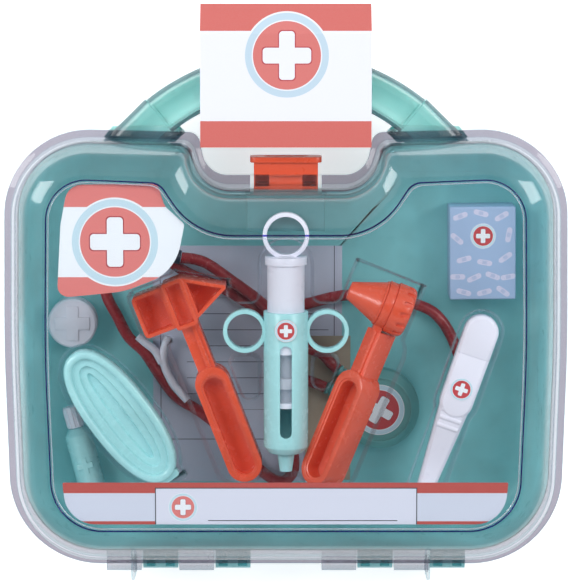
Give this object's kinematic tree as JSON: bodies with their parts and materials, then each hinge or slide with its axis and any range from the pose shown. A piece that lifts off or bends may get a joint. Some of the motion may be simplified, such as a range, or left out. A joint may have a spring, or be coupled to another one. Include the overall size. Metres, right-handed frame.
{
  "type": "toy doctor case",
  "caption": "Teal toy doctor case with a domed clear lid, a split arched handle, a sprung orange latch, a folded header card and play doctor tools in a clear tray",
  "frame": {"origin": "On the plane the case's flat back rests on, under the middle of the overall length from the hinge lugs to the header card's fold, and midway across the width", "axes": "+X across the case to the right as seen from the lid with the handle away, +Y from the hinge to the handle, +Z from the back up to the clear lid"},
  "size_m": [0.27, 0.2742, 0.0645],
  "materials": {
    "teal_case_plastic": "smooth moulded teal plastic, satin",
    "clear_lid_plastic": "clear moulded plastic, polished",
    "orange_plastic": "orange-red moulded plastic, glossy",
    "spring_steel": "drawn spring wire",
    "clear_film": "thin clear formed film",
    "printed_paper_red": "printed adhesive paper",
    "printed_card": "printed folded card, white with red bands",
    "pale_teal_plastic": "pale teal moulded plastic, glossy",
    "white_plastic": "white moulded plastic, glossy",
    "printed_pack_blue": "printed pale blue carton with plaster shapes",
    "white_paper": "white paper printed with a blank form",
    "brown_card": "plain brown card",
    "red_tube": "soft dark red hose",
    "navy_plastic": "dark navy soft plastic"
  },
  "bodies": {
    "base": {"base_shell": "teal_case_plastic", "latch_spring": "spring_steel", "blister_tray": "clear_film", "header_card_back": "printed_card", "reflex_hammer": "orange_plastic", "syringe_barrel": "pale_teal_plastic", "syringe_label": "printed_paper_red", "otoscope_body": "orange_plastic", "otoscope_cap": "orange_plastic", "otoscope_speculum": "orange_plastic", "thermometer_body": "white_plastic", "thermometer_cap": "white_plastic", "thermometer_label": "printed_paper_red", "oval_dish": "pale_teal_plastic", "pill_box_base": "white_plastic", "pill_box_lid": "white_plastic", "bottle_body": "pale_teal_plastic", "plaster_box": "printed_pack_blue", "prescription_sheet": "white_paper", "patient_card": "brown_card", "stethoscope_chest_piece": "teal_case_plastic", "stethoscope_diaphragm": "white_plastic", "stethoscope_label": "printed_paper_red", "stethoscope_long_tube": "red_tube", "stethoscope_short_tube": "red_tube", "stethoscope_headset": "white_plastic", "stethoscope_ear_tips": "navy_plastic"},
    "lid": {"lid_shell": "clear_lid_plastic", "corner_sticker": "printed_paper_red", "name_banner": "printed_paper_red", "header_card_front": "printed_card"},
    "latch": {"latch_button": "orange_plastic"},
    "plunger": {"syringe_plunger": "white_plastic"},
    "bottle_cap": {"bottle_cap": "white_plastic"}
  },
  "joints": [
    {"name": "lid_hinge", "type": "hinge", "parent": "base", "child": "lid", "pos_m": [0, -0.1325, 0.0305], "axis": [1, 0, 0], "range_deg": [0, 165]},
    {"name": "latch_push", "type": "slide", "parent": "base", "child": "latch", "axis": [0, -1, 0], "range_m": [0, 0.0035], "stiffness_N_per_m": 400, "springref_m": -0.002, "deforming": ["latch_spring"]},
    {"name": "plunger_slide", "type": "slide", "parent": "base", "child": "plunger", "axis": [0, -1, 0], "range_m": [0, 0.014]},
    {"name": "bottle_cap_turn", "type": "hinge", "parent": "base", "child": "bottle_cap", "pos_m": [-0.0943, -0.10715, 0.009], "axis": [-0.247, 0.969, 0], "range_deg": [0, 180]}
  ]
}
